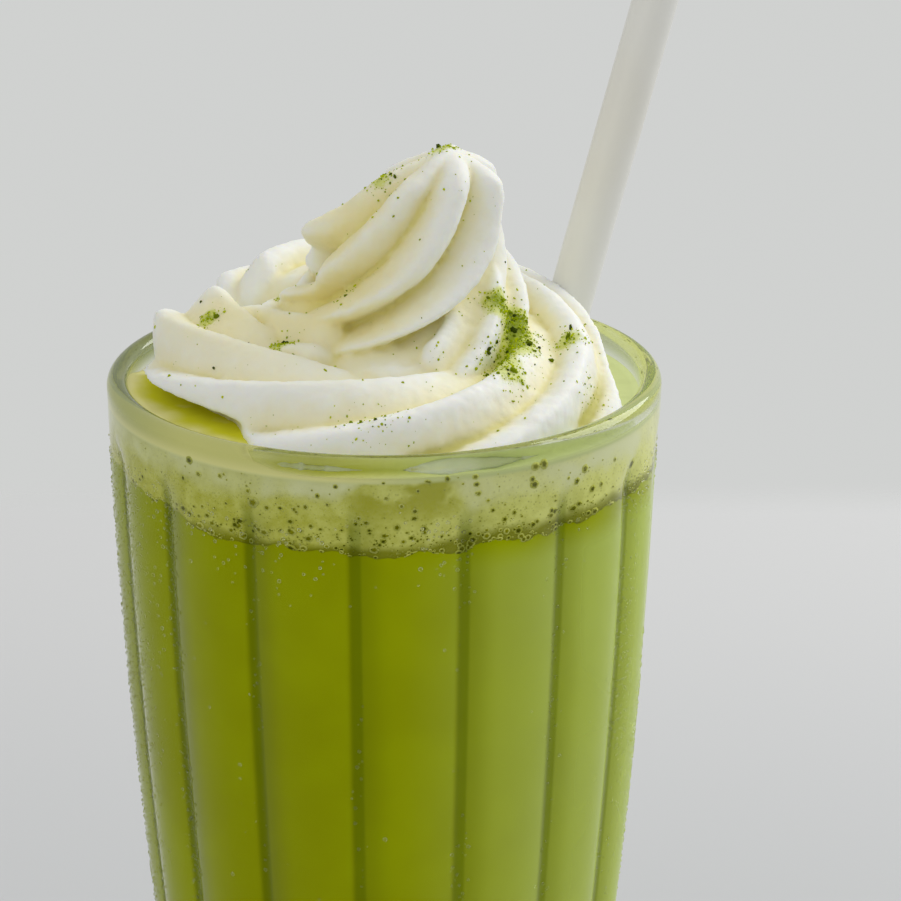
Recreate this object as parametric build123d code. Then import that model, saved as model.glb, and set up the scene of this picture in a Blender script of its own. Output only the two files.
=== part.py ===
from build123d import *
import math
import os

# A matcha latte in a ribbed soda glass, with a straw and a piped swirl of whipped cream.
# Origin: centre of the glass's flat base. +Z is up and -Y is the front.

# ---- Glass ----
glass_height = 160.0
rim_radius = 41.5
base_radius = 26.5
straight_taper = 0.22
lip_thickness = 3.2
wall = 3.2
floor_thickness = 12.0
heel_round = 3.0
floor_round = 8.0

# ---- Ribs pressed into the outside of the glass ----
rib_count = 16
rib_depth = 1.3
first_groove = 264.9
plain_band = 6.0
plain_heel = 5.0
rib_fade = 6.0

# ---- Levels of the drink, measured down from the top of the lip ----
latte_below_lip = 14.6
foam_below_lip = 3.6

# ---- Straw ----
straw_radius = 3.5
straw_wall = 0.35
straw_length = 240.0
straw_direction = 38.0
straw_clearance = 0.15

# ---- Whipped cream: a coil of ribbed rope, a smaller coil inside it, and a pulled-up peak ----
# Directions are in degrees round the glass, and heights are measured from the middle of the lip.
rope_ridges = 8
rope_groove = 0.2
rope_taper = 12.0

coil_start = 160.0
coil_turn = 352.0
coil_rope_radius = 13.6
coil_closing = 2.0
coil_height = -2.0
coil_tilt = 4.0
coil_high_side = 110.0
coil_first_ridge = -23.0
coil_twist = 243.0
coil_twist_swell = 40.0

upper_start = 285.0
upper_turn = 320.0
upper_rope_radius = 10.0
upper_radius = 12.2
upper_height = 0.0
upper_rise = 12.0
upper_fall = 9.0
upper_first_ridge = 10.0
upper_twist = 240.0

peak_ridges = 7
peak_groove = 0.35
peak_foot = -3.0
peak_top = 35.6
peak_foot_radius = 18.5
peak_top_radius = 6.2
peak_shoulder = 0.88
peak_foot_offset = -1.0
peak_top_offset = 10.4
peak_foot_back = 5.0
peak_top_back = -2.2
peak_first_ridge = 238.0
peak_twist = 260.0

core_radius = 17.0
core_height = 10.0

mouth_radius = rim_radius - lip_thickness
lip_level = glass_height - lip_thickness / 2
latte_level = glass_height - latte_below_lip
foam_level = glass_height - foam_below_lip
rib_low = heel_round + plain_heel
rib_high = glass_height - plain_band


def smooth_step(t):
    t = min(1.0, max(0.0, t))
    return t * t * (3 - 2 * t)


def outer_radius(z):
    """Radius over the ribs' crests: nearly upright at the lip, drawing in faster towards the base."""
    down = max(0.0, lip_level - z) / lip_level
    return rim_radius - (rim_radius - base_radius) * (
        straight_taper * down + (1 - straight_taper) * down * down
    )


def inner_radius(z):
    """The wall under the ribs' crests runs into the thickness of the lip across the plain band."""
    into_lip = smooth_step((z - rib_high) / (lip_level - rib_high))
    return outer_radius(z) - wall - (lip_thickness - wall) * into_lip


def groove_depth(z):
    """Depth of the grooves between the ribs, dying out below the lip and above the heel."""
    low = smooth_step((z - rib_low) / rib_fade)
    high = smooth_step((rib_high - z) / rib_fade)
    return rib_depth * low * high


def rib_section(z):
    """A closed outline at height z: one outward arc for each rib, meeting in sharp grooves."""
    crest = outer_radius(z)
    groove = crest - groove_depth(z)
    step = 360 / rib_count
    arcs = []
    for rib in range(rib_count):
        start = first_groove + rib * step
        ends = [Vector(groove, 0, z).rotate(Axis.Z, start + turn) for turn in (0, step)]
        top = Vector(crest, 0, z).rotate(Axis.Z, start + step / 2)
        arcs.append(Edge.make_three_point_arc(ends[0], top, ends[1]))
    return Wire(arcs)


def heights(low, high, count):
    return [low + (high - low) * i / count for i in range(count + 1)]


def turned(outline):
    """A solid turned about the upright axis from an outline of edges in the XZ plane."""
    return revolve(Plane.XZ * make_face(outline), Axis.Z)


# The ribbed part of the outside, drawn through evenly spaced sections.
ribbed_body = Solid.make_loft([rib_section(z) for z in heights(rib_low, rib_high, 40)])

# The plain heel under the ribs, with its edge rounded where it meets the table.
heel_wall = Spline([(outer_radius(z), z) for z in heights(0, rib_low, 4)])
heel = turned(
    heel_wall
    + Polyline((base_radius, 0), (0, 0), (0, rib_low), (outer_radius(rib_low), rib_low))
)
heel = fillet(heel.edges().group_by(Axis.Z)[0], heel_round)

# The plain band above the ribs, ending in the round lip.
band_wall = Spline([(outer_radius(z), z) for z in heights(rib_high, lip_level, 4)])
lip_arc = ThreePointArc(
    (rim_radius, lip_level),
    (rim_radius - lip_thickness / 2, glass_height),
    (mouth_radius, lip_level),
)
band = turned(
    band_wall
    + lip_arc
    + Polyline(
        (mouth_radius, lip_level),
        (0, lip_level),
        (0, rib_high),
        (outer_radius(rib_high), rib_high),
    )
)

# The inside of the glass, smooth and round at the bottom, up to the middle of the lip.
cavity_wall = Spline([(inner_radius(z), z) for z in heights(floor_thickness, lip_level, 16)])
cavity = turned(
    cavity_wall
    + Polyline(
        (inner_radius(lip_level), lip_level),
        (0, lip_level),
        (0, floor_thickness),
        (inner_radius(floor_thickness), floor_thickness),
    )
)
cavity = fillet(cavity.edges().group_by(Axis.Z)[0], floor_round)

glass = heel + ribbed_body + band - cavity

standing = (Align.CENTER, Align.CENTER, Align.MIN)

# The straw leans from the foot of the glass on one side to the lip on the other.
straw_top_reach = mouth_radius - straw_radius - straw_clearance
straw_foot_reach = inner_radius(floor_thickness + floor_round) - floor_round
straw_run = straw_top_reach + straw_foot_reach
straw_rise = lip_level - floor_thickness
straw_tilt = math.degrees(math.atan2(straw_run, straw_rise))
straw_lift = straw_radius * math.sin(math.radians(straw_tilt)) + straw_clearance
straw_foot = Vector(-straw_foot_reach, 0, floor_thickness + straw_lift).rotate(
    Axis.Z, straw_direction
)
straw_axis = Vector(0, 0, 1).rotate(Axis.Y, straw_tilt).rotate(Axis.Z, straw_direction)
straw_plane = Plane(origin=straw_foot, z_dir=straw_axis)
straw_outside = straw_plane * Cylinder(straw_radius, straw_length, align=standing)
straw_bore = straw_plane * Cylinder(straw_radius - straw_wall, straw_length, align=standing)
straw = straw_outside - straw_bore


def filled(low, high):
    """What fills the glass between two levels."""
    slab = Cylinder(rim_radius, high - low, align=standing)
    return cavity & (Pos(0, 0, low) * slab)


# The latte also stands inside the straw. The foam only stands round it.
matcha_latte = filled(floor_thickness, latte_level) - straw
milk_foam = filled(latte_level, foam_level) - straw_outside


def star_section(centre, across, up, radius, ridges, groove, first_ridge):
    """A closed star outline: one rounded arc for each ridge, meeting in sharp grooves."""
    step = 2 * math.pi / ridges
    arcs = []
    for ridge in range(ridges):
        crest = math.radians(first_ridge) + ridge * step
        points = []
        for turn, share in ((-step / 2, 1 - groove), (0, 1), (step / 2, 1 - groove)):
            angle = crest + turn
            reach = radius * share
            points.append(centre + across * reach * math.cos(angle) + up * reach * math.sin(angle))
        arcs.append(Edge.make_three_point_arc(*points))
    return Wire(arcs)


def rope(start, turn, reach_at, height_at, ridge_at, radius):
    """A ribbed rope laid round the glass's axis, thinner at its two ends."""
    sections = []
    up = Vector(0, 0, 1)
    for along in heights(0, turn, round(turn / 12)):
        outward = Vector(1, 0, 0).rotate(Axis.Z, start + along)
        centre = outward * reach_at(along) + up * (lip_level + height_at(along))
        near_end = min(1.0, min(along, turn - along) / rope_taper)
        thickness = radius * (0.4 + 0.6 * math.sqrt(near_end))
        sections.append(
            star_section(
                centre, outward, up, thickness, rope_ridges, rope_groove, ridge_at(along)
            )
        )
    return Solid.make_loft(sections)


def coil_reach(along):
    """The coil starts against the glass and closes in a little as it goes round."""
    return mouth_radius - coil_rope_radius - coil_closing * along / 360


def coil_level(along):
    """The coil lies highest on one side, where it runs over its own start."""
    from_high_side = math.radians(coil_start + along - coil_high_side)
    return coil_height + coil_tilt * math.cos(from_high_side)


def coil_ridge(along):
    swell = coil_twist_swell * math.sin(math.pi * along / coil_turn)
    return coil_first_ridge + coil_twist * along / 360 + swell


def upper_reach(along):
    return upper_radius


def upper_level(along):
    """The upper coil climbs behind the peak and comes down again on the far side."""
    climb = upper_rise * smooth_step(along / 110)
    return upper_height + climb - upper_fall * smooth_step((along - 120) / 120)


def upper_ridge(along):
    return upper_first_ridge + upper_twist * along / 360


def peak_section(step):
    """The peak's outline: it leans, turns and draws in upwards, and is round at the top."""
    share = math.sin(step * math.pi / 2)
    closing = max(0.0, (share - peak_shoulder) / (1 - peak_shoulder))
    radius = peak_foot_radius + (peak_top_radius - peak_foot_radius) * share**2.1
    radius *= math.sqrt(1.01 - closing * closing)
    offset = peak_foot_offset + (peak_top_offset - peak_foot_offset) * share**1.7
    back = peak_foot_back + (peak_top_back - peak_foot_back) * share
    level = lip_level + peak_foot + (peak_top - peak_foot) * share
    ridge = peak_first_ridge - peak_twist * (1 - share) ** 3
    centre = Vector(offset, back, level)
    return star_section(
        centre, Vector(1, 0, 0), Vector(0, 1, 0), radius, peak_ridges, peak_groove, ridge
    )


coil = rope(coil_start, coil_turn, coil_reach, coil_level, coil_ridge, coil_rope_radius)
upper_coil = rope(
    upper_start, upper_turn, upper_reach, upper_level, upper_ridge, upper_rope_radius
)
peak = Solid.make_loft([peak_section(step) for step in heights(0, 1, 40)])

# The ropes press against each other and the glass, and no hollow is left under the peak.
core = Pos(0, 0, foam_level) * Cylinder(core_radius, core_height, align=standing)
room = Pos(0, 0, foam_level) * Cylinder(inner_radius(foam_level), glass_height, align=standing)
whipped_cream = (coil & room) + core + (upper_coil & room) + (peak & room) - straw_outside

os.makedirs("parts", exist_ok=True)
pieces = {
    "glass": glass,
    "matcha_latte": matcha_latte,
    "milk_foam": milk_foam,
    "whipped_cream": whipped_cream,
    "straw": straw,
}
for name, piece in pieces.items():
    export_step(piece, "parts/" + name + ".step")
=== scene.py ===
import math

import bmesh
import bpy
import numpy as np
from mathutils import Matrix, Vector, noise


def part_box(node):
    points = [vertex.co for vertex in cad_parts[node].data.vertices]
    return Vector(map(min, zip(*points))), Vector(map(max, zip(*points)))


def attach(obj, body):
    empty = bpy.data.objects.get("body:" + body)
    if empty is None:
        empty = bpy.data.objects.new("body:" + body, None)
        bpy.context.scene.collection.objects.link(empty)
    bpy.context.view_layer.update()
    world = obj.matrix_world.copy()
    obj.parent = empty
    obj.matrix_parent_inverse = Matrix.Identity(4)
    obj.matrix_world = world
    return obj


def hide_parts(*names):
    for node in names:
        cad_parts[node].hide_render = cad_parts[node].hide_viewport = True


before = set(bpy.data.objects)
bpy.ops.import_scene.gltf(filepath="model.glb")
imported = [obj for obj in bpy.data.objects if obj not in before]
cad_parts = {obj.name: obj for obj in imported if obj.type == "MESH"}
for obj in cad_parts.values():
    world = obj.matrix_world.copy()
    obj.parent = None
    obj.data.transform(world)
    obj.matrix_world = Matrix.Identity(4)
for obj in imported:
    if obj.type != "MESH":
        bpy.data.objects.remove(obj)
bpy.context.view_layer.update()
mm = 0.001

# ---- The glass ----
# A tall soda glass of clear, faintly green pressed glass, thick at its foot.
# It is pressed in a mould that gives it sixteen ribs, and its rim is then melted round in a flame.

glass_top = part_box("glass")[1]
glass_height = glass_top.z
rim_radius = glass_top.x
base_radius = 26.5 * mm
straight_taper = 0.22
lip_thickness = 3.2 * mm
wall = 3.2 * mm
floor_thickness = 12 * mm
heel_round = 3 * mm
floor_round = 8 * mm
rib_count = 16
rib_depth = 1.3 * mm
first_groove = math.radians(264.9)
rib_low = 8 * mm
rib_high = glass_height - 6 * mm
rib_fade = 6 * mm
lip_level = glass_height - lip_thickness / 2
glass_steps_round = rib_count * 24
glass_colour = (0.955, 0.98, 0.93, 1)
# Painted shade along the grooves: a dark core, and a fade over one side of each rib.
groove_shade_colour = (0.29, 0.34, 0.16, 1)
groove_core = 0.5 * mm
groove_half_width = 1.6 * mm
groove_shade = 5.5 * mm
# Pale green mist on the glass, also standing in for the sheen of the light on the right.
mist_and_sheen_colour = (0.60, 0.76, 0.22, 1)
mist_top = lip_level - 12 * mm
mist_fade = 5 * mm
lip_colour = (0.58, 0.63, 0.35, 1)
# Painted shade for the left side of the lip, away from the light.
lip_shaded_left = (0.30, 0.36, 0.17, 1)
lip_depth = 3 * mm
wet_top = lip_level - 9 * mm
glint_wet = (0.03, 0.035, 0.01, 1)
glint_bare = (0.8, 0.84, 0.8, 1)
glass_ior = 1.5


class Value:
    """A value in a node tree. Arithmetic on it adds Math nodes."""

    def __init__(self, graph, socket):
        self.graph, self.socket = graph, socket

    def math(self, operation, *values):
        return self.graph.add("ShaderNodeMath", {"operation": operation}, values)

    def __add__(self, other):
        return self.math("ADD", self, other)

    __radd__ = __add__

    def __sub__(self, other):
        return self.math("SUBTRACT", self, other)

    def __rsub__(self, other):
        return self.math("SUBTRACT", other, self)

    def __mul__(self, other):
        return self.math("MULTIPLY", self, other)

    __rmul__ = __mul__

    def __truediv__(self, other):
        return self.math("DIVIDE", self, other)

    def __pow__(self, other):
        return self.math("POWER", self, other)

    def __abs__(self):
        return self.math("ABSOLUTE", self)

    def cos(self):
        return self.math("COSINE", self)

    def sin(self):
        return self.math("SINE", self)

    def fraction(self):
        return self.math("FRACT", self)

    def least(self, other):
        return self.math("MINIMUM", self, other)

    def most(self, other):
        return self.math("MAXIMUM", self, other)

    def ease(self, low=0.0, high=1.0):
        """0 below low, 1 above high, with a smooth step between them."""
        sockets = {"Value": self, "From Min": low, "From Max": high}
        return self.graph.add("ShaderNodeMapRange", {"interpolation_type": "SMOOTHSTEP"}, sockets)

    def axes(self):
        return self.graph.add("ShaderNodeSeparateXYZ", {}, (self,), out=("X", "Y", "Z"))


class Graph:
    """Adds nodes to one node tree."""

    def __init__(self, tree):
        self.tree = tree

    def add(self, kind, settings, sockets, out=0):
        """One node: its settings first, then its sockets, by place or name. Returns what comes out."""
        node = self.tree.nodes.new(kind)
        for name, value in settings.items():
            setattr(node, name, value)
        for place, value in sockets.items() if isinstance(sockets, dict) else enumerate(sockets):
            if isinstance(value, Value):
                self.tree.links.new(value.socket, node.inputs[place])
            else:
                node.inputs[place].default_value = value
        if isinstance(out, tuple):
            return tuple(Value(self, node.outputs[name]) for name in out)
        return Value(self, node.outputs[out]) if len(node.outputs) else node

    def mix(self, share, first, second):
        """One colour over another, by a share from 0 to 1."""
        return self.add("ShaderNodeMix", {"data_type": "RGBA"}, {0: share, 6: first, 7: second}, out=2)

    def scaled(self, vector, share):
        return self.add("ShaderNodeVectorMath", {"operation": "SCALE"}, {0: vector, "Scale": share})

    def point(self, x, y, z):
        return self.add("ShaderNodeCombineXYZ", {}, (x, y, z))

    def angle_round(self, x, y):
        """The direction round the upright axis, in radians."""
        return self.add("ShaderNodeMath", {"operation": "ARCTAN2"}, (y, x))

    def from_grooves(self, x, y):
        """How far round the glass the last groove is, and how far the nearest one."""
        turns = (self.angle_round(x, y) - first_groove) * (rib_count / (2 * math.pi))
        past_last = turns.fraction()
        to_nearest = 0.5 - abs(past_last - 0.5)
        radius = (x * x + y * y) ** 0.5
        rib_angle = 2 * math.pi / rib_count
        return past_last * radius * rib_angle, to_nearest * radius * rib_angle


class Shader(Graph):
    """A material's nodes, on the piece's own coordinates in the shared frame."""

    def __init__(self, name):
        self.material = bpy.data.materials.new(name)
        self.material.use_nodes = True
        super().__init__(self.material.node_tree)
        self.tree.nodes.clear()
        self.place = self.add("ShaderNodeTexCoord", {}, {}, out="Object")

    def grain(self, scale, detail=2.0, roughness=0.5):
        """Soft noise from 0 to 1, with its scale in waves for each metre."""
        sockets = {"Vector": self.place, "Scale": scale, "Detail": detail, "Roughness": roughness}
        return self.add("ShaderNodeTexNoise", {}, sockets, out="Fac")

    def cells(self, scale):
        """The distance to the middle of each small cell, in shares of a cell."""
        sockets = {"Vector": self.place, "Scale": scale}
        return self.add("ShaderNodeTexVoronoi", {"feature": "F1"}, sockets, out="Distance")

    def kept(self, name):
        """A value kept on the mesh."""
        return self.add("ShaderNodeAttribute", {"attribute_name": name}, {}, out="Fac")

    def finish(self, colour, roughness, **constants):
        """The shader of one finish. Constants are set on its own sockets."""
        sockets = {"Base Color": colour, "Roughness": roughness}
        for name, value in constants.items():
            sockets[name.replace("_", " ").title().replace("Ior", "IOR")] = value
        return self.add("ShaderNodeBsdfPrincipled", {}, sockets)

    def blend(self, share, first, second):
        """One shader over another, by a share from 0 to 1."""
        return self.add("ShaderNodeMixShader", {}, (share, first, second))

    def bump(self, height, distance, strength=1.0):
        return self.add("ShaderNodeBump", {}, {"Strength": strength, "Distance": distance, "Height": height})

    def done(self, surface):
        self.add("ShaderNodeOutputMaterial", {}, {"Surface": surface})
        return self.material

    def clear(self, surface, tint):
        """A clear surface as it is seen, that lets the light straight through to what lies behind."""
        rays = self.add("ShaderNodeLightPath", {}, {}, out=("Is Shadow Ray", "Is Diffuse Ray"))
        let_through = self.add("ShaderNodeBsdfTransparent", {}, {"Color": tint})
        return self.done(self.blend(rays[0].most(rays[1]), surface, let_through))


class Maker(Graph):
    """A Geometry Nodes tree that makes one kind of piece from named sizes."""

    def __init__(self, name, sizes):
        super().__init__(bpy.data.node_groups.new(name, "GeometryNodeTree"))
        self.tree.interface.new_socket("Geometry", in_out="INPUT", socket_type="NodeSocketGeometry")
        for size in sizes:
            self.tree.interface.new_socket(size, in_out="INPUT", socket_type="NodeSocketFloat")
        self.tree.interface.new_socket("Geometry", in_out="OUTPUT", socket_type="NodeSocketGeometry")
        self.entry = self.tree.nodes.new("NodeGroupInput")
        self.start = Value(self, self.entry.outputs["Geometry"])
        self.sizes = sizes

    def size(self, name):
        return Value(self, self.entry.outputs[name])

    def place(self):
        return self.add("GeometryNodeInputPosition", {}, {}).axes()

    def kept(self, name):
        """A value kept on the mesh."""
        return self.add("GeometryNodeInputNamedAttribute", {"data_type": "FLOAT"}, {"Name": name})

    def keep(self, geometry, name, value, domain):
        """Keeps a value on the geometry, for its material to read."""
        sockets = {"Geometry": geometry, "Name": name, "Value": value}
        settings = {"data_type": "FLOAT", "domain": domain}
        return self.add("GeometryNodeStoreNamedAttribute", settings, sockets)

    def clouds(self, place, scale, detail):
        """Soft noise from 0 to 1, with its scale in waves for each metre."""
        sockets = {"Vector": place, "Scale": scale, "Detail": detail}
        return self.add("ShaderNodeTexNoise", {}, sockets, out="Fac")

    def any_of(self, low, high, seed):
        """A random number between two for each point."""
        sockets = {2: low, 3: high, 8: seed}
        return self.add("FunctionNodeRandomValue", {"data_type": "FLOAT"}, sockets, out=1)

    def any_vector(self, low, high, seed):
        """A random vector between two for each point."""
        sockets = {0: low, 1: high, 8: seed}
        return self.add("FunctionNodeRandomValue", {"data_type": "FLOAT_VECTOR"}, sockets)

    def scatter(self, density, seed):
        """Points on the faces of the mesh, as many for each square metre, and how the faces are turned."""
        sockets = {"Mesh": self.start, "Density": density, "Seed": seed}
        settings = {"distribute_method": "RANDOM"}
        return self.add("GeometryNodeDistributePointsOnFaces", settings, sockets, out=("Points", "Rotation"))

    def ball(self):
        """A ball of 20 faces, 1 m in radius, to be scaled down."""
        return self.add("GeometryNodeMeshIcoSphere", {}, {"Radius": 1.0, "Subdivisions": 1}, out="Mesh")

    def copies(self, points, shape, rotation, scale):
        sockets = {"Points": points, "Instance": shape, "Rotation": rotation, "Scale": scale}
        return self.add("GeometryNodeInstanceOnPoints", {}, sockets)

    def smooth(self, geometry):
        return self.add("GeometryNodeSetShadeSmooth", {}, {"Geometry": geometry})

    def end(self, geometry, material):
        real = self.add("GeometryNodeRealizeInstances", {}, {"Geometry": geometry})
        finished = self.add("GeometryNodeSetMaterial", {}, {"Geometry": real, "Material": material})
        exit_node = self.tree.nodes.new("NodeGroupOutput")
        self.tree.links.new(finished.socket, exit_node.inputs["Geometry"])

    def make(self, name, start_mesh):
        """The plain mesh that the tree makes from a mesh and its named sizes."""
        maker = bpy.data.objects.new(name, start_mesh)
        bpy.context.scene.collection.objects.link(maker)
        modifier = maker.modifiers.new("made", "NODES")
        modifier.node_group = self.tree
        for item in self.tree.interface.items_tree:
            if item.in_out == "INPUT" and item.name in self.sizes:
                modifier[item.identifier] = float(self.sizes[item.name])
        now = bpy.context.evaluated_depsgraph_get()
        mesh = bpy.data.meshes.new_from_object(
            maker.evaluated_get(now), preserve_all_data_layers=True, depsgraph=now
        )
        bpy.data.objects.remove(maker)
        return mesh


def smooth_step(share):
    share = np.clip(share, 0, 1)
    return share * share * (3 - 2 * share)


def outer_radius(z):
    """Radius over the ribs' crests: nearly upright at the lip, drawing in faster towards the base."""
    down = np.maximum(0, lip_level - z) / lip_level
    taper = straight_taper * down + (1 - straight_taper) * down * down
    return rim_radius - (rim_radius - base_radius) * taper


def inner_radius(z):
    """The wall under the ribs' crests runs into the thickness of the lip across the plain band."""
    into_lip = smooth_step((z - rib_high) / (lip_level - rib_high))
    return outer_radius(z) - wall - (lip_thickness - wall) * into_lip


def arc(centre, radius, start, end, count):
    """Points on an arc in the (radius, height) plane, with its angles in degrees."""
    angles = np.radians(np.linspace(start, end, count))
    return np.stack([centre[0] + radius * np.cos(angles), centre[1] + radius * np.sin(angles)], 1)


def inner_floor(count, reach=0.0):
    """The rounded bottom of the inside, from the axis out to the wall."""
    corner = (inner_radius(floor_thickness + floor_round) - floor_round, floor_thickness + floor_round)
    return np.vstack([[0, floor_thickness - reach], arc(corner, floor_round + reach, -90, 0, count)])


def up_the_wall(radius_at, low, high, count):
    z = np.linspace(low, high, count)
    return np.stack([radius_at(z), z], 1)


def turned_rings(outline, count):
    """Rings of points turned about the upright axis, each with a point on every groove."""
    angles = first_groove + np.arange(count) * 2 * math.pi / count
    radius, z = np.asarray(outline).T[:, :, None]
    return np.stack([radius * np.cos(angles), radius * np.sin(angles), z + 0 * angles], 2)


def woven(name, rings):
    """A mesh through rings of points. A ring that shrinks to a point closes an end."""
    rows, count = rings.shape[:2]
    index = np.arange(rows * count).reshape(rows, count)
    after = np.roll(index, -1, axis=1)
    faces = np.stack([index[:-1], after[:-1], after[1:], index[1:]], -1).reshape(-1, 4)
    body = bmesh.new()
    corners = [body.verts.new(p) for p in rings.reshape(-1, 3).tolist()]
    for face in faces.tolist():
        body.faces.new([corners[i] for i in face])
    bmesh.ops.remove_doubles(body, verts=body.verts, dist=0.002 * mm)
    bmesh.ops.recalc_face_normals(body, faces=body.faces)
    mesh = bpy.data.meshes.new(name)
    body.to_mesh(mesh)
    body.free()
    mesh.shade_smooth()
    return mesh


def points_of(mesh, kind="co"):
    values = np.zeros(len(mesh.vertices) * 3, np.float32)
    mesh.vertices.foreach_get(kind, values)
    return values.reshape(-1, 3).astype(float)


def store(mesh, name, values):
    mesh.attributes.new(name, "FLOAT", "POINT").data.foreach_set("value", values.astype(np.float32))


def piece(name, mesh, slot=None, *nodes):
    """A finished piece of the drink, which stands still with the glass. Its slot is not used."""
    made = bpy.data.objects.new(name, mesh)
    bpy.context.scene.collection.objects.link(made)
    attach(made, "root")
    if nodes:
        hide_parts(*nodes)


def clear_glass():
    """Clear glass with a green cast. Fine mist dulls its cold outside below the foam, laid on most thickly
    on the right, where it also stands in for the pale sheen of the light from that side.
    """
    s = Shader("clear_green_glass")
    x, y, z = s.place.axes()
    outside = s.kept("outside")
    past_last, to_nearest = s.from_grooves(x, y)
    # The grooves, and each rib's side just past a groove, are painted darker as the shade where the ribs
    # bend the light away.
    soft_side_shade = 0.6 * (1 - past_last.ease(0.8 * mm, groove_shade))
    ribbed = z.ease(rib_low, rib_low + rib_fade) * (1 - z.ease(rib_high - rib_fade, rib_high))
    groove = (1 - to_nearest.ease(groove_core, groove_half_width)).most(soft_side_shade) * ribbed * outside
    colour = s.mix(groove, glass_colour, groove_shade_colour)
    # The lip is painted darker on the left, as shade on the side away from the light.
    lip = s.mix(x.ease(-39 * mm, -26 * mm), lip_shaded_left, lip_colour)
    colour = s.mix(z.ease(lip_level - lip_depth, lip_level), colour, lip)
    below_foam = 1 - z.ease(mist_top - mist_fade, mist_top)
    # Painted sheen: the mist is laid on mostly on the right, as the pale sheen of the light from that side,
    # over real haze.
    sheen_side = x.ease(1 * mm, 34 * mm)
    patches = s.grain(40, 2)
    mist_and_sheen = below_foam * (0.004 + 0.45 * sheen_side) * (0.6 + 0.6 * patches) * (1 - 0.75 * groove)
    glassy = {"transmission_weight": 1.0, "ior": glass_ior}
    wet = s.finish(colour, 0.0, specular_tint=glint_wet, **glassy)
    bare = s.finish(colour, 0.0, specular_tint=glint_bare, **glassy)
    glass = s.blend(z.ease(wet_top, lip_level - lip_depth), wet, bare)
    dull = s.finish(mist_and_sheen_colour, 0.9, specular_ior_level=0.1)
    return s.clear(s.blend(mist_and_sheen * outside, glass, dull), (0.97, 0.98, 0.96, 1))


def press_ribs(mesh):
    """Presses the grooves into the outside, dying out above the heel and below the lip."""
    names = {
        "Rib count": rib_count,
        "Rib depth": rib_depth,
        "First groove": first_groove,
        "Rib low": rib_low,
        "Rib high": rib_high,
        "Fade": rib_fade,
    }
    m = Maker("rib_mould", names)
    x, y, z = m.place()
    turns = (m.angle_round(x, y) - m.size("First groove")) * m.size("Rib count") / (2 * math.pi)
    from_crest = abs(turns.fraction() - 0.5) * 2
    low = ((z - m.size("Rib low")) / m.size("Fade")).ease()
    high = ((m.size("Rib high") - z) / m.size("Fade")).ease()
    press = m.size("Rib depth") * from_crest * from_crest * low * high * m.kept("outside")
    to_axis = m.point(0 - x, 0 - y, 0)
    inwards = m.add("ShaderNodeVectorMath", {"operation": "NORMALIZE"}, (to_axis,))
    offset = m.scaled(inwards, press)
    m.end(m.add("GeometryNodeSetPosition", {}, {"Geometry": m.start, "Offset": offset}), clear_glass())
    return m.make("glass_maker", mesh)


heel_corner = (outer_radius(heel_round) - heel_round, heel_round)
glass_outside = np.vstack(
    [
        [0, 0],
        arc(heel_corner, heel_round, -90, 0, 8),
        up_the_wall(outer_radius, heel_round + 0.7 * mm, lip_level, 84),
    ]
)
lip_centre = (rim_radius - lip_thickness / 2, lip_level)
glass_inside = np.vstack(
    [
        arc(lip_centre, lip_thickness / 2, 10, 180, 16),
        up_the_wall(inner_radius, floor_thickness + floor_round, lip_level - 0.5 * mm, 40)[::-1],
        inner_floor(9)[:-1][::-1],
    ]
)
glass_rings = turned_rings(np.vstack([glass_outside, glass_inside]), glass_steps_round)
glass_mesh = woven("glass_blank", glass_rings)
glass_points = points_of(glass_mesh)
from_axis = np.hypot(glass_points[:, 0], glass_points[:, 1])
store(glass_mesh, "outside", from_axis > outer_radius(glass_points[:, 2]) - wall / 2)
glass_mesh = press_ribs(glass_mesh)
piece("soda_glass", glass_mesh, "glass", "glass")

# ---- The latte ----
# Cold milk stirred with whisked green tea: an opaque yellow-green liquid that fills the glass.
# It wets the wall, so it is drawn a little way into the glass, with no air between them, and it
# runs up behind the uneven edge of the froth.

wetting = 0.15 * mm
latte_level = glass_height - 14.6 * mm
latte_top = latte_level + 4 * mm
latte_colour = (0.300, 0.332, 0.0003, 1)
# Pale latte, for random streaks and for the painted light on the right.
latte_pale_and_lit = (0.400, 0.465, 0.001, 1)


def milky_tea():
    s = Shader("milky_green_tea")
    x, y, z = s.place.axes()
    streaks = s.grain(45, 3, 0.6).ease(0.35, 0.7)
    # Paler in random streaks, and painted paler towards the right as the light from that side.
    to_light = x.ease(-12 * mm, 18 * mm)
    colour = s.mix(streaks * 0.4 + to_light * 0.6, latte_colour, latte_pale_and_lit)
    return s.done(s.finish(colour, 0.5, specular_ior_level=0.0))


def wetted_wall(z):
    return inner_radius(z) + wetting


latte_wall = up_the_wall(wetted_wall, floor_thickness + floor_round + 1 * mm, latte_top, 60)
latte_outline = np.vstack([inner_floor(9, wetting), latte_wall, [0, latte_top]])
latte_mesh = woven("latte", turned_rings(latte_outline, 192))
latte_mesh.materials.append(milky_tea())
piece("matcha_latte_fill", latte_mesh, "matcha_latte", "matcha_latte")

# ---- The milk foam ----
# Froth of milk and tea that floats on the latte and clings to the wall in a ragged edge.
# Its larger bubbles are pressed flat against the glass and look dark, and cream has sunk into it.

foam_level = glass_height - 3.6 * mm
foam_reach = 0.22 * mm
foam_ragged = 1.1 * mm
melt_rise = 2.5 * mm
melt_direction = math.radians(208)
foam_colour = (0.45, 0.455, 0.05, 1)
foam_pale = (0.74, 0.76, 0.24, 1)
foam_top = (0.60, 0.66, 0.31, 1)
foam_olive = (0.21, 0.22, 0.001, 1)
foam_yellow = (0.36, 0.36, 0.008, 1)
melted_tea = (0.70, 0.69, 0.03, 1)
melted_cream = (0.86, 0.82, 0.36, 1)
cream_in_foam = (0.74, 0.76, 0.46, 1)
foam_steps_round = 720


def ragged(points):
    """An uneven height, from -1 to 1, for each point on a ring."""
    return np.array([noise.fractal(Vector(p) / (6 * mm), 0.7, 2.2, 4) for p in points])


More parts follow.
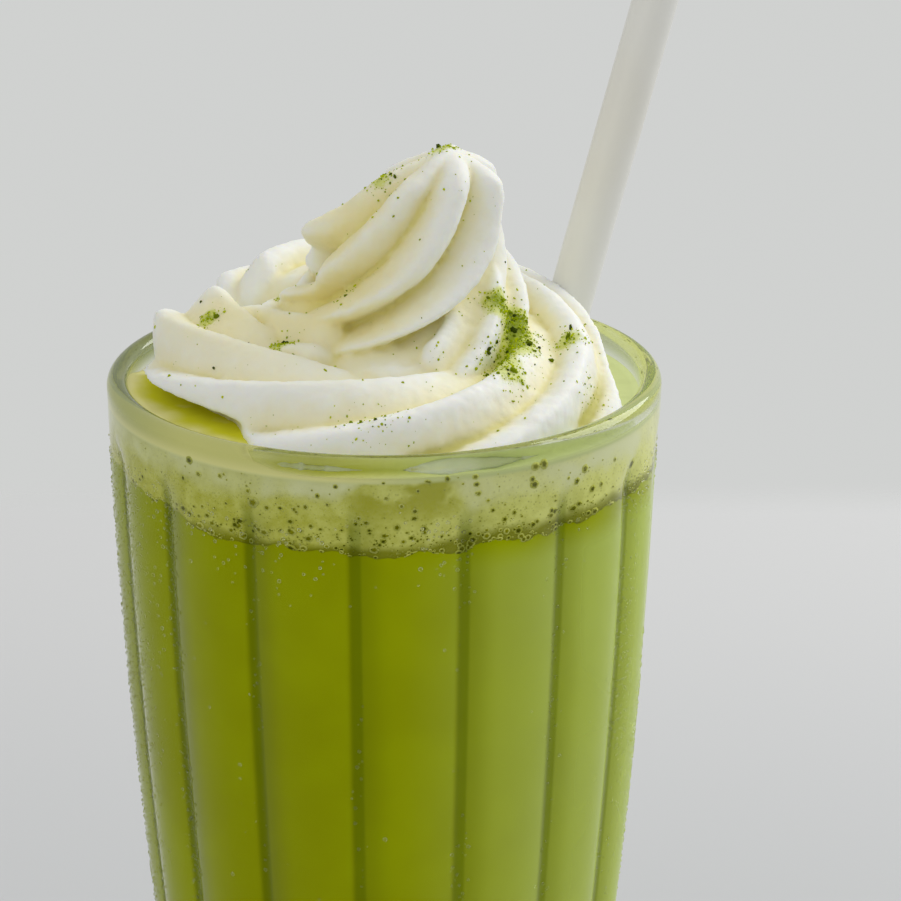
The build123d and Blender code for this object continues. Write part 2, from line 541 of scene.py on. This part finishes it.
def froth():
    s = Shader("green_milk_froth")
    x, y, z = s.place.axes()
    below = (foam_level - z) / mm
    angle = s.angle_round(x, y)
    on_top = 1 - below.ease(0.3, 1.0)
    froth_grain = s.grain(420, 4, 0.65).ease(0.3, 0.7)
    # Paler in random froth grain, and painted paler towards the right as the light from that side.
    colour = s.mix(froth_grain * 0.45 + x.ease(-20 * mm, 36 * mm) * 0.75, foam_colour, foam_pale)
    # Tiny froth bubbles, their middles painted olive as the shade inside them.
    fine = s.cells(1700).ease(0.10, 0.34)
    colour = s.mix((1 - fine) * 0.4, colour, foam_olive)
    clear_front = 1 - (abs(angle + math.radians(85)) / math.radians(15)).ease(0.5, 1.0)
    cream_depth = (1.2 + 5.4 * s.grain(46, 2)) * (1 - 0.85 * clear_front)
    sunk = 1 - (below / cream_depth + 1.3 * s.grain(190, 3) - 0.65).ease(0.5, 1.3)
    colour = s.mix(sunk * (0.35 + 0.55 * s.grain(120, 2).ease(0.35, 0.65)), colour, cream_in_foam)
    yellow = (1 - below.ease(3, 8)) * clear_front * s.grain(230, 2).ease(0.4, 0.55)
    colour = s.mix(yellow * 0.8, colour, foam_yellow)
    to_right = x.ease(4 * mm, 16 * mm)
    olive = (below + 3 * s.grain(200, 3) - 1.5).ease(9.6 - 1.6 * to_right, 11.2 - 1.2 * to_right)
    colour = s.mix(olive * 0.9, colour, foam_olive)
    melted = on_top * (1 - (x + 8 * mm * s.grain(90)).ease(-6 * mm, 22 * mm))
    colour = s.mix(on_top, colour, foam_top)
    outwards = ((x * x + y * y) ** 0.5 + 5 * mm * s.grain(130, 2)).ease(36.5 * mm, 40.5 * mm)
    pools = s.mix(outwards.most(s.grain(170, 2).ease(0.58, 0.85)), melted_tea, melted_cream)
    colour = s.mix(melted, colour, pools)
    return s.done(s.finish(colour, 0.6, specular_ior_level=0.0))


def foam_rings():
    """From the ragged lower edge, hidden inside, up the wall and over the top to the axis."""
    angles = np.arange(foam_steps_round) * 2 * math.pi / foam_steps_round
    around = np.stack([np.cos(angles), np.sin(angles)], 1)
    edge_points = np.column_stack([around * inner_radius(latte_level), np.full(len(around), latte_level)])
    lifted_left = 2.4 * mm * smooth_step((-around[:, 0] - 0.55) / 0.35)
    lifted_right = 0.8 * mm * smooth_step((around[:, 0] - 0.6) / 0.3)
    lifted = lifted_left + lifted_right
    edge = latte_level - 0.3 * mm + lifted + foam_ragged * ragged(edge_points)
    towards_melt = np.cos(angles - melt_direction)
    top_level = foam_level + melt_rise * smooth_step((towards_melt - 0.72) / 0.2)
    rings = [np.column_stack([around * 0, np.full(len(around), latte_level - 2 * mm)])]
    tucked = inner_radius(edge) + foam_reach / 3
    rings.append(np.column_stack([around * tucked[:, None], edge - 0.02 * mm]))
    for share in np.linspace(0, 1, 26):
        z = edge + (top_level - edge) * share
        radius = inner_radius(z) + foam_reach
        rings.append(np.column_stack([around * radius[:, None], z]))
    for share in (0.97, 0.9, 0.8, 0.7, 0.6, 0.4, 0.2, 0):
        radius = inner_radius(foam_level) * share
        height = foam_level + (top_level - foam_level) * smooth_step((share - 0.55) / 0.3)
        top = np.column_stack([around * radius, height])
        top[:, 2] += 0.35 * mm * ragged(top) * min(1, share * 2) - 0.2 * mm
        rings.append(top)
    return np.array(rings)


froth_material = froth()
foam_mesh = woven("foam", foam_rings())
foam_mesh.materials.append(froth_material)
piece("milk_foam_layer", foam_mesh, "milk_foam", "milk_foam")

# ---- The bubbles ----
# Bubbles of the froth pressed against the inside of the glass, from pinholes to two millimetres across.
# Each shows a paler rim round a middle painted dark as the shade inside its hollow, and they crowd together
# along the froth's lower edge.

bubble_rim = (0.47, 0.49, 0.07, 1)
# Painted shade for the hollow middle of each bubble.
bubble_hollow_shade = (0.075, 0.085, 0.001, 1)
bubble_sizes = {
    "Wall": inner_radius(latte_level) - 0.6 * mm,
    "Edge": latte_level,
    "Top": foam_level - 0.4 * mm,
    "Smallest": 0.11 * mm,
    "Largest": 0.72 * mm,
    "Proud": 0.17 * mm,
    "Each square metre": 3.2e6,
}


def bubble_skin():
    s = Shader("open_bubbles")
    shaded_hollow = s.kept("shaded_hollow")
    shade = s.kept("shade")
    # Each bubble's middle is painted dark or yellow, as the shade inside its hollow.
    painted_hollow_shade = s.mix(shade, bubble_hollow_shade, foam_yellow)
    colour = s.mix(shaded_hollow.ease(0.5, 0.8), s.mix(shade, bubble_rim, foam_pale), painted_hollow_shade)
    return s.done(s.finish(colour, 0.6, specular_ior_level=0.0))


def blown_bubbles(name, sizes, start_mesh, seed):
    """Flat domes scattered on the froth's wall, most of them small."""
    m = Maker(name, sizes)
    x, y, z = m.place()
    out_at_wall = ((x * x + y * y) ** 0.5).ease(m.size("Wall"), m.size("Wall") + 0.2 * mm)
    under_top = 1 - z.ease(m.size("Top"), m.size("Top") + 0.1 * mm)
    clusters = m.clouds(m.point(x, y, z), 260, 2)
    low = 1 - z.ease(m.size("Edge") - 1 * mm, m.size("Edge") + 5 * mm)
    front = 1 - (abs(m.angle_round(x, y) + math.radians(90)) / math.radians(70)).ease(0.3, 1.0)
    crowd = clusters.ease(0.35, 0.65) * (0.1 + low) * (0.45 + front) * out_at_wall * under_top
    points, turned = m.scatter(m.size("Each square metre") * crowd, seed)
    spread = m.size("Largest") - m.size("Smallest")
    radius = m.size("Smallest") + spread * m.any_of(0.0, 1.0, seed + 1) ** 3.5
    long_way = m.any_of(0.85, 1.35, seed + 2)
    dome = m.ball()
    # The height on each dome, by which its middle is painted dark as the shade inside the bubble's hollow.
    dome = m.keep(dome, "shaded_hollow", m.place()[2], "POINT")
    domes = m.copies(points, dome, turned, m.point(radius * long_way, radius, m.size("Proud")))
    domes = m.keep(domes, "shade", m.any_of(0.0, 0.7, seed + 3), "INSTANCE")
    m.end(m.smooth(domes), bubble_skin())
    return m.make(name, start_mesh)


piece("froth_bubbles", blown_bubbles("froth_bubbles", bubble_sizes, foam_mesh, 3), "milk_foam")
large_sizes = {
    **bubble_sizes,
    "Smallest": 0.5 * mm,
    "Largest": 1.1 * mm,
    "Edge": foam_level,
    "Each square metre": 2.4e4,
}
piece("large_bubbles", blown_bubbles("large_bubbles", large_sizes, foam_mesh, 11), "milk_foam")

# ---- The straw ----
# A straight milkshake straw, a tube drawn from thin whitish plastic. It leans across the glass,
# from the foot of one side to the lip on the other, and passes through foam and latte.

straw_radius = 3.5 * mm
straw_wall = 0.35 * mm
straw_length = 240 * mm
straw_direction = math.radians(38)
straw_clearance = 0.15 * mm
straw_colour = (0.80, 0.79, 0.73, 1)
straw_cloud = (0.83, 0.83, 0.79, 1)
straw_steps_round = 64

straw_top_reach = rim_radius - lip_thickness - straw_radius - straw_clearance
straw_foot_reach = inner_radius(floor_thickness + floor_round) - floor_round
straw_tilt = math.atan2(straw_top_reach + straw_foot_reach, lip_level - floor_thickness)
straw_lift = straw_radius * math.sin(straw_tilt) + straw_clearance
straw_side = Vector((math.cos(straw_direction), math.sin(straw_direction), 0))
straw_foot = Vector((0, 0, floor_thickness + straw_lift)) - straw_side * straw_foot_reach
straw_axis = straw_side * math.sin(straw_tilt) + Vector((0, 0, math.cos(straw_tilt)))


def thin_plastic():
    s = Shader("whitish_thin_plastic")
    colour = s.mix(s.grain(60, 2).ease(0.3, 0.7), straw_colour, straw_cloud)
    return s.done(s.finish(colour, 0.38, specular_ior_level=0.4))


def tube_rings(foot, axis, outline, count):
    """Rings round a leaning axis, from (radius, distance along it)."""
    across = axis.orthogonal().normalized()
    beside = axis.cross(across)
    angles = np.arange(count) * 2 * math.pi / count
    round_it = np.outer(np.cos(angles), across) + np.outer(np.sin(angles), beside)
    rings = [np.array(foot) + np.array(axis) * along + round_it * radius for radius, along in outline]
    return np.array(rings)


edge_round = straw_wall / 2
straw_middle = straw_radius - edge_round
steps_along = np.linspace(edge_round, straw_length - edge_round, 40)
outside_run = [(straw_radius, along) for along in steps_along]
inside_run = [(straw_radius - straw_wall, along) for along in steps_along[::-1]]
top_edge = [(straw_middle, straw_length)]
foot_edge = [(straw_middle, 0.0)]
straw_outline = foot_edge + outside_run + top_edge + inside_run + foot_edge
straw_mesh = woven("straw", tube_rings(straw_foot, straw_axis, straw_outline, straw_steps_round))
straw_mesh.materials.append(thin_plastic())
piece("drinking_straw", straw_mesh, "straw", "straw")

# ---- The whipped cream ----
# Whipped cream piped through a star nozzle: one ribbed rope coiled on the foam against the glass,
# a smaller coil inside it, and a peak pulled up and to one side as the nozzle is lifted away.

cream_voxel = 0.45 * mm
cream_white = (0.93, 0.955, 0.90, 1)
# Painted shade for the cream's faces, the inner side of the peak and its creases.
cream_shaded_face = (0.90, 0.865, 0.63, 1)
cream_shaded_inner = (0.90, 0.82, 0.42, 1)
cream_fold_shade = (0.83, 0.76, 0.27, 1)
# Low hollows: cream melted into tea, and painted shade in the creases.
cream_melt_and_shade = (0.50, 0.47, 0.05, 1)
tea_stain = (0.62, 0.68, 0.07, 1)
tea_green = (0.28, 0.37, 0.003, 1)
mouth_radius = rim_radius - lip_thickness
cream_reach = mouth_radius - 0.15 * mm
rope_sizes = {
    "Start": math.radians(160),
    "Turn": math.radians(352),
    "Reach": mouth_radius - 13.6 * mm,
    "Closing": 2 * mm / math.radians(360),
    "Level": lip_level - 2 * mm,
    "Tilt": 4 * mm,
    "High side": math.radians(110),
    "Climb": 0.0,
    "Climb turn": math.radians(110),
    "Fall": 0.0,
    "Fall turn": math.radians(120),
    "Rope radius": 13.6 * mm,
    "Ridges": 8,
    "Groove": 0.24,
    "First ridge": math.radians(-23),
    "Twist": math.radians(243) / math.radians(360),
    "Swell": math.radians(40),
    "Taper": math.radians(14),
    "Lean": 0.35,
    "Crispness": 1.5,
    "Wall radius": cream_reach,
    "Gap": 5 * mm,
    "Gap direction": math.radians(20),
    "Melt": 9 * mm,
    "Melt direction": math.radians(202),
    "Bottom": foam_level - 0.6 * mm,
}


def star(m, angle, ridges, groove, lean, crispness):
    """The share of the radius that a star nozzle leaves at an angle. Its ridges lean to one side."""
    across = (angle * ridges / (2 * math.pi) + 0.5).fraction() * 2 - 1
    leaning = across - lean * (1 - across * across)
    return 1 - groove * abs(leaning) ** crispness


def ring_grid(m, along_count, round_count):
    """A grid to bend into a tube: two shares from 0 to 1, along it and round it."""
    sockets = {"Size X": 1.0, "Size Y": 1.0, "Vertices X": along_count, "Vertices Y": round_count}
    mesh, uv = m.add("GeometryNodeMeshGrid", {}, sockets, out=("Mesh", "UV Map"))
    along, round_share, unused = uv.axes()
    return mesh, along, round_share


def bent(m, mesh, x, y, z):
    moved = m.add("GeometryNodeSetPosition", {}, {"Geometry": mesh, "Position": m.point(x, y, z)})
    return m.add("GeometryNodeMergeByDistance", {}, {"Geometry": moved, "Distance": 0.01 * mm})


def piped_rope(name, sizes, material):
    """A ribbed rope laid round the axis, round at both ends and flat where it meets wall and foam."""
    m = Maker(name, sizes)
    mesh, share, round_share = ring_grid(m, 420, 240)
    along = share * m.size("Turn")
    angle = round_share * (2 * math.pi)
    reach = m.size("Reach") - m.size("Closing") * along
    level = m.size("Level") + m.size("Tilt") * (m.size("Start") + along - m.size("High side")).cos()
    climb = m.size("Climb") * (along / m.size("Climb turn")).ease()
    fall = m.size("Fall") * ((along - m.size("Fall turn")) / m.size("Fall turn")).ease()
    ridge = m.size("First ridge") + m.size("Twist") * along + m.size("Swell") * (share * math.pi).sin()
    to_end = (along.least(m.size("Turn") - along) / m.size("Taper")).least(1)
    ending = (1 - (1 - to_end) * (1 - to_end)).most(0) ** 0.5
    ribs = star(m, angle - ridge, m.size("Ridges"), m.size("Groove"), m.size("Lean"), m.size("Crispness"))
    thickness = m.size("Rope radius") * ending * ribs
    height = (level + climb - fall + thickness * angle.sin()).most(m.size("Bottom"))
    turn = m.size("Start") + along
    gap = m.size("Gap") * (turn - m.size("Gap direction")).cos().ease(0.72, 0.97)
    low = 1 - height.ease(lip_level + 1 * mm, lip_level + 4.5 * mm)
    melt = m.size("Melt") * (turn - m.size("Melt direction")).cos().ease(0.72, 0.97) * low
    limit = m.size("Wall radius") - gap - melt
    radius = (reach + thickness * angle.cos()).least(limit).most(0)
    m.end(bent(m, mesh, radius * turn.cos(), radius * turn.sin(), height), material)
    return m.make(name, bpy.data.meshes.new("empty"))


peak_sizes = {
    "Foot": lip_level - 3 * mm,
    "Height": 39.4 * mm,
    "Foot radius": 18.5 * mm,
    "Top radius": 7.6 * mm,
    "Shoulder": 0.88,
    "Foot offset": -1.0 * mm,
    "Top offset": 10.2 * mm,
    "Foot back": 5.0 * mm,
    "Top back": -2.2 * mm,
    "Ridges": 7,
    "Groove": 0.42,
    "Lean": 0.0,
    "Crispness": 1.6,
    "First ridge": math.radians(238),
    "Twist": math.radians(260),
    "Lobe": 3.4 * mm,
    "Lobe level": 0.67,
    "Notch": 6.0 * mm,
    "Notch level": 0.5,
    "Lobe direction": math.radians(186),
    "Lobe width": math.radians(34),
    "Tip offset": 9.4 * mm,
    "Crown slope": 0.35,
    "Bottom": foam_level - 0.6 * mm,
}


def pulled_peak(name, sizes, material):
    """The peak draws in, leans and untwists upwards. One ridge curls out to the side as a lobe."""
    m = Maker(name, sizes)
    mesh, step, round_share = ring_grid(m, 300, 420)
    angle = round_share * (2 * math.pi)
    share = (step * (math.pi / 2)).sin()
    closing = ((share - m.size("Shoulder")) / (1 - m.size("Shoulder"))).most(0)
    draw_in = (m.size("Top radius") - m.size("Foot radius")) * share ** 2.1
    radius = (m.size("Foot radius") + draw_in) * (1 - closing * closing).most(0) ** 0.5
    radius = radius * (step * 40).least(1)
    ridge = m.size("First ridge") - m.size("Twist") * (1 - share) ** 3
    ribs = star(m, angle - ridge, m.size("Ridges"), m.size("Groove"), m.size("Lean"), m.size("Crispness"))
    towards = 1 - (abs(angle - m.size("Lobe direction")) / m.size("Lobe width")).ease()
    lobe = m.size("Lobe") * (1 - (abs(share - m.size("Lobe level")) / 0.12).ease())
    notch = m.size("Notch") * (1 - (abs(share - m.size("Notch level")) / 0.1).ease())
    reach = radius * ribs + towards * (lobe - notch)
    offset = m.size("Foot offset") + (m.size("Top offset") - m.size("Foot offset")) * share ** 1.7
    x = offset + reach * angle.cos()
    crown = m.size("Crown slope") * share ** 10 * abs(x - m.size("Tip offset"))
    height = m.size("Foot") + m.size("Height") * share - crown
    back = m.size("Foot back") + (m.size("Top back") - m.size("Foot back")) * share
    m.end(bent(m, mesh, x, back + reach * angle.sin(), height.most(m.size("Bottom"))), material)
    return m.make(name, bpy.data.meshes.new("empty"))


def whipped():
    s = Shader("piped_whipped_cream")
    shaded_hollow = s.kept("shaded_hollow")
    dusting = s.kept("dusting")
    x, y, z = s.place.axes()
    # Painted shade: the broad faces between the crests are painted yellower than the white crests.
    colour = s.mix((shaded_hollow + 0.3 * s.grain(110, 2)).ease(-0.5, 0.45), cream_white, cream_shaded_face)
    # The inner left side of the peak, turned from the light, is painted yellower still as shade.
    to_front = (y * -1).ease(-6 * mm, 4 * mm)
    high = z.ease(lip_level + 6 * mm, lip_level + 13 * mm)
    shaded_inner = high * (1 - x.ease(-8 * mm, 12 * mm)) * to_front
    colour = s.mix(shaded_inner * 0.85 * shaded_hollow.ease(-1.8, -0.3), colour, cream_shaded_inner)
    # Painted shade: the deep creases are yellow-olive.
    colour = s.mix(shaded_hollow.ease(0.2, 1.1) * 0.85, colour, cream_fold_shade)
    # Low hollows near the foam are painted dark: cream melted into the tea, and painted shade in the
    # creases.
    low = 1 - (z + 3 * mm * s.grain(140)).ease(lip_level + 0.5 * mm, lip_level + 4.5 * mm)
    melted = low * shaded_hollow.ease(-0.1, 0.5)
    colour = s.mix(melted * 0.8, colour, cream_melt_and_shade)
    drifts = s.grain(650, 4, 0.7)
    colour = s.mix((dusting * 1.6 + drifts - 0.75).ease(0.0, 0.45) * 0.75, colour, tea_stain)
    colour = s.mix((dusting * 0.9 + drifts - 0.95).ease(0.0, 0.35) * 0.85, colour, tea_green)
    relief = s.bump(s.grain(700, 4, 0.6), 0.12 * mm, 0.5)
    milky = {
        "subsurface_weight": 0.35,
        "subsurface_radius": (1.0, 0.85, 0.45),
        "subsurface_scale": 2.2 * mm,
    }
    return s.done(s.finish(colour, 0.55, normal=relief, specular_ior_level=0.25, **milky))


def joined(name, meshes):
    body = bmesh.new()
    for mesh in meshes:
        body.from_mesh(mesh)
    bmesh.ops.recalc_face_normals(body, faces=body.faces)
    mesh = bpy.data.meshes.new(name)
    body.to_mesh(mesh)
    body.free()
    return mesh


def fused(name, mesh):
    """Runs touching ropes into one skin and softens it."""
    maker = bpy.data.objects.new(name, mesh)
    bpy.context.scene.collection.objects.link(maker)
    remesh = maker.modifiers.new("one_skin", "REMESH")
    remesh.mode = "VOXEL"
    remesh.voxel_size = cream_voxel
    soften = maker.modifiers.new("soften", "SMOOTH")
    soften.factor = 0.5
    soften.iterations = 3
    now = bpy.context.evaluated_depsgraph_get()
    skin = bpy.data.meshes.new_from_object(maker.evaluated_get(now))
    bpy.data.objects.remove(maker)
    return skin


def evened(points, ends, rounds):
    """The points after being drawn towards the middle of their neighbours a number of times."""
    both = np.concatenate([ends, ends[:, ::-1]])
    count = np.bincount(both[:, 0], minlength=len(points))[:, None]
    for unused in range(rounds):
        near = [np.bincount(both[:, 0], points[both[:, 1], i], len(points)) for i in range(3)]
        points = (points + np.stack(near, 1) / count) / 2
    return points


whipped_material = whipped()
coil = piped_rope("cream_coil", rope_sizes, whipped_material)
upper_sizes = {
    **rope_sizes,
    "Start": math.radians(285),
    "Turn": math.radians(320),
    "Reach": 12.2 * mm,
    "Closing": 0.0,
    "Level": lip_level,
    "Tilt": 0.0,
    "Climb": 12 * mm,
    "Fall": 9 * mm,
    "Rope radius": 10 * mm,
    "First ridge": math.radians(10),
    "Twist": math.radians(240) / math.radians(360),
    "Swell": 0.0,
    "Gap": 0.0,
    "Melt": 0.0,
}
upper_coil = piped_rope("upper_coil", upper_sizes, whipped_material)
peak = pulled_peak("cream_peak", peak_sizes, whipped_material)
core_foot = foam_level - 0.6 * mm
core_dome = [(20, 3), (18.5, 6.5), (16.5, 8.5), (13, 10), (8, 11), (0, 11)]
core_outline = [(0, core_foot), (20 * mm, core_foot)]
core_outline += [(reach * mm, foam_level + up * mm) for reach, up in core_dome]
core = woven("core", turned_rings(core_outline, 64))
cream_mesh = fused("cream", joined("ropes", [coil, upper_coil, peak, core]))

edges = np.zeros(len(cream_mesh.edges) * 2, np.int32)
cream_mesh.edges.foreach_get("vertices", edges)
cream_points = points_of(cream_mesh)
cream_normals = points_of(cream_mesh, "normal")
unevenness = np.array([noise.fractal(Vector(p) / (3.2 * mm), 0.6, 2.1, 4) for p in cream_points])
cream_points = cream_points + cream_normals * unevenness[:, None] * 0.16 * mm
cream_mesh.vertices.foreach_set("co", cream_points.astype(np.float32).ravel())
cream_mesh.update()
cream_normals = points_of(cream_mesh, "normal")
broad = evened(cream_points, edges.reshape(-1, 2), 120)
# How far each point lies in a hollow, by which the materials paint their shade.
store(cream_mesh, "shaded_hollow", np.einsum("ij,ij->i", broad - cream_points, cream_normals) / mm)

# Where the powder fell thickest: its direction in degrees, its reach, its height over the lip and its
# spread in mm, and its amount.
powder_places = [
    (345, 20, 10, 2.6, 1.2),
    (340, 18, 14, 2.2, 1.0),
    (334, 22, 8, 2.8, 0.9),
    (322, 22, 7, 2.6, 0.8),
    (314, 26, 7, 3.0, 0.6),
    (300, 18, 9, 1.6, 0.5),
    (350, 28, 7, 2.2, 0.7),
    (335, 34, 2, 3.5, 0.3),
    (268, 33, 4, 4.5, 0.16),
    (219, 19, 9, 1.7, 0.95),
    (186, 26, 10, 1.6, 0.8),
    (148, 18, 9, 1.6, 0.6),
    (234, 10, 17, 2.2, 0.35),
    (350, 9, 35, 2.2, 0.6),
    (328, 13, 30, 2.4, 0.35),
    (270, 3, 31, 2.2, 0.5),
    (170, 5, 26, 1.8, 0.5),
]
fallen = np.zeros(len(cream_points))
for direction, reach, height, spread, amount in powder_places:
    turn = math.radians(direction)
    place = np.array([math.cos(turn) * reach, math.sin(turn) * reach, height])
    apart = np.linalg.norm(cream_points / mm - place - [0, 0, lip_level / mm], axis=1)
    fallen += amount * np.exp(-((apart / spread) ** 2))
facing_up = np.clip(cream_normals[:, 2] * 1.5 + 0.5, 0, 1)
store(cream_mesh, "dusting", fallen * facing_up)
store(cream_mesh, "sprinkle", (fallen + 0.012) * facing_up * (cream_points[:, 2] > foam_level + 1 * mm))
cream_mesh.materials.clear()
cream_mesh.materials.append(whipped_material)
cream_mesh.shade_smooth()
piece("whipped_cream_swirl", cream_mesh, "whipped_cream", "whipped_cream")

# ---- The powder ----
# Ground green tea sifted over the finished cream: fine bright grains, and darker crumbs where it clung
# together. It lies thickest in one fold of the cream and thinly over the rest.

grain_bright = (0.54, 0.63, 0.002, 1)
grain_green = (0.27, 0.36, 0.001, 1)
crumb_dark = (0.012, 0.026, 0.002, 1)
grain_sizes = {
    "Smallest": 0.08 * mm,
    "Largest": 0.30 * mm,
    "Each square metre": 9.0e6,
    "Clinging": 1.2,
}
crumb_sizes = {
    "Smallest": 0.14 * mm,
    "Largest": 0.60 * mm,
    "Each square metre": 1.1e6,
    "Clinging": 1.5,
}


def ground_tea(name, first, second):
    s = Shader(name)
    shade = s.kept("shade").ease(0.1, 0.9)
    colour = s.mix(shade * 0.8 + 0.2 * s.grain(3000, 2), first, second)
    return s.done(s.finish(colour, 0.9, specular_ior_level=0.1))


def sifted(name, sizes, material, seed):
    """Uneven grains scattered on the cream, as thickly as it was dusted."""
    m = Maker(name, sizes)
    density = m.size("Each square metre") * m.kept("sprinkle") ** m.size("Clinging")
    points, unused = m.scatter(density, seed)
    spread = m.size("Largest") - m.size("Smallest")
    radius = m.size("Smallest") + spread * m.any_of(0.0, 1.0, seed + 1) ** 2.2
    uneven = m.any_vector((0.5, 0.6, 0.4), (1.5, 1.0, 0.9), seed + 2)
    turned = m.any_vector((0, 0, 0), (6.28, 6.28, 6.28), seed + 3)
    grains = m.copies(points, m.ball(), turned, m.scaled(uneven, radius))
    m.end(m.keep(grains, "shade", m.any_of(0.0, 1.0, seed + 4), "INSTANCE"), material)
    return m.make(name, cream_mesh)


bright_tea = ground_tea("ground_green_tea", grain_bright, grain_green)
dark_tea = ground_tea("clotted_green_tea", crumb_dark, grain_green)
piece("tea_powder", sifted("tea_powder", grain_sizes, bright_tea, 5))
piece("tea_crumbs", sifted("tea_crumbs", crumb_sizes, dark_tea, 21))

# ---- The dew ----
# Water from the air, condensed on the cold glass in fine drops. They gather in the grooves between
# the ribs, under the rim and all over the left side, and stay apart on the other crests.

water_ior = 1.33
dew_sizes = {
    "Low": 12 * mm,
    "High": rib_high - 3 * mm,
    "Groove width": 1.9 * mm,
    "Smallest": 0.12 * mm,
    "Largest": 0.36 * mm,
    "Flatness": 0.7,
    "Each square metre": 1.7e6,
}


def water():
    s = Shader("clear_water")
    glassy = {"transmission_weight": 1.0, "ior": water_ior}
    drop = s.finish((1, 1, 1, 1), 0.0, specular_tint=(0.9, 0.9, 0.9, 1), **glassy)
    return s.clear(drop, (1, 1, 1, 1))


def condensed(name, sizes, start_mesh):
    """Flattened drops scattered on the outside of the glass."""
    m = Maker(name, sizes)
    x, y, z = m.place()
    past_last, to_nearest = m.from_grooves(x, y)
    in_groove = 1 - to_nearest.ease(0, m.size("Groove width"))
    patches = m.clouds(m.point(x, y, z * 0.35), 95, 3).ease(0.45, 0.62)
    to_left = (x * -1).ease(22 * mm, 34 * mm)
    at_edge = abs(x).ease(31 * mm, 37 * mm)
    under_rim = z.ease(m.size("High") - 16 * mm, m.size("High"))
    drifts = patches.most(to_left * 0.55)
    wet = (in_groove * (0.3 + to_left * 2.2) + at_edge * 0.9 + under_rim * 0.3) * drifts + 0.003
    under_top = 1 - z.ease(m.size("High") - 1 * mm, m.size("High"))
    inside_limits = z.ease(m.size("Low"), m.size("Low") + 20 * mm) * under_top
    density = m.size("Each square metre") * wet * inside_limits * m.kept("outside")
    points, turned = m.scatter(density, 8)
    spread = m.size("Largest") - m.size("Smallest")
    radius = m.size("Smallest") + spread * m.any_of(0.0, 1.0, 9) ** 1.4
    scale = m.point(radius, radius, radius * m.size("Flatness"))
    m.end(m.smooth(m.copies(points, m.ball(), turned, scale)), water())
    return m.make(name, start_mesh)


piece("condensed_dew", condensed("condensed_dew", dew_sizes, glass_mesh))

# ---- The table, the light and the camera ----
# The glass stands on a plain pale table, in front of a plain pale wall, in soft light from the right.

table_colour = (0.60, 0.615, 0.635, 1)
# Painted light: the table's far part, paler where the light falls brighter.
table_far_lit_colour = (0.68, 0.69, 0.70, 1)
wall_colour = (0.630, 0.640, 0.630, 1)
table_back = 384 * mm
table_half = 3.0


def pale_table():
    s = Shader("pale_table")
    x, y, z = s.place.axes()
    # The table is painted paler towards the back, as the light from the window behind it falls more brightly
    # there.
    colour = s.mix(y.ease(0.1, 0.38), table_colour, table_far_lit_colour)
    top = s.finish(colour, 0.6, specular_ior_level=0.2)
    gone = s.add("ShaderNodeBsdfTransparent", {}, {})
    edge = (y + 0.004 * s.grain(2)).ease(table_back - 14 * mm, table_back + 14 * mm)
    return s.done(s.blend(edge, top, gone))


table_mesh = bpy.data.meshes.new("table")
table_corners = [
    (-table_half, -table_half, 0),
    (table_half, -table_half, 0),
    (table_half, table_back + 0.02, 0),
    (-table_half, table_back + 0.02, 0),
]
table_mesh.from_pydata(table_corners, [], [(0, 1, 2, 3)])
table_mesh.materials.append(pale_table())
table = bpy.data.objects.new("table_top", table_mesh)
bpy.context.scene.collection.objects.link(table)

room = bpy.data.worlds.new("plain_room")
room.use_nodes = True
room.node_tree.nodes.clear()
room_graph = Graph(room.node_tree)
camera_ray, glossy_ray, through_ray = room_graph.add(
    "ShaderNodeLightPath", {}, {}, out=("Is Camera Ray", "Is Glossy Ray", "Is Transmission Ray")
)
seen = camera_ray.most(glossy_ray).most(through_ray)
seen_wall = room_graph.add("ShaderNodeBackground", {}, {"Color": wall_colour, "Strength": 1.0})
lit_room = room_graph.add("ShaderNodeBackground", {}, {"Color": (1.0, 0.99, 0.97, 1), "Strength": 0.55})
mixed = room_graph.add("ShaderNodeMixShader", {}, (seen, lit_room, seen_wall))
room_graph.add("ShaderNodeOutputWorld", {}, {"Surface": mixed})
bpy.context.scene.world = room


def softbox(name, place, size, power, colour):
    """A square soft lamp that looks at the cream."""
    light = bpy.data.lights.new(name, "AREA")
    light.size = size
    light.energy = power
    light.color = colour
    lamp = bpy.data.objects.new(name, light)
    lamp.location = place
    to_cream = Vector((0, 0, lip_level)) - Vector(place)
    lamp.rotation_euler = to_cream.to_track_quat("-Z", "Y").to_euler()
    bpy.context.scene.collection.objects.link(lamp)


softbox("window", (1.1, 0.75, 1.15), 1.2, 17.0, (1.0, 0.995, 0.98))
softbox("room_fill", (-0.9, -1.2, 1.2), 1.4, 4.0, (1.0, 0.98, 0.94))

camera_data = bpy.data.cameras.new("camera")
camera_data.lens = 151.7
camera_data.sensor_width = 36
camera_data.clip_start = 0.05
camera = bpy.data.objects.new("camera", camera_data)
camera.location = (9.9 * mm, -540.8 * mm, lip_level + 177.8 * mm)
camera.rotation_euler = (math.radians(70.7), 0, 0)
bpy.context.scene.collection.objects.link(camera)
bpy.context.scene.camera = camera
bpy.context.scene.view_settings.view_transform = "Standard"
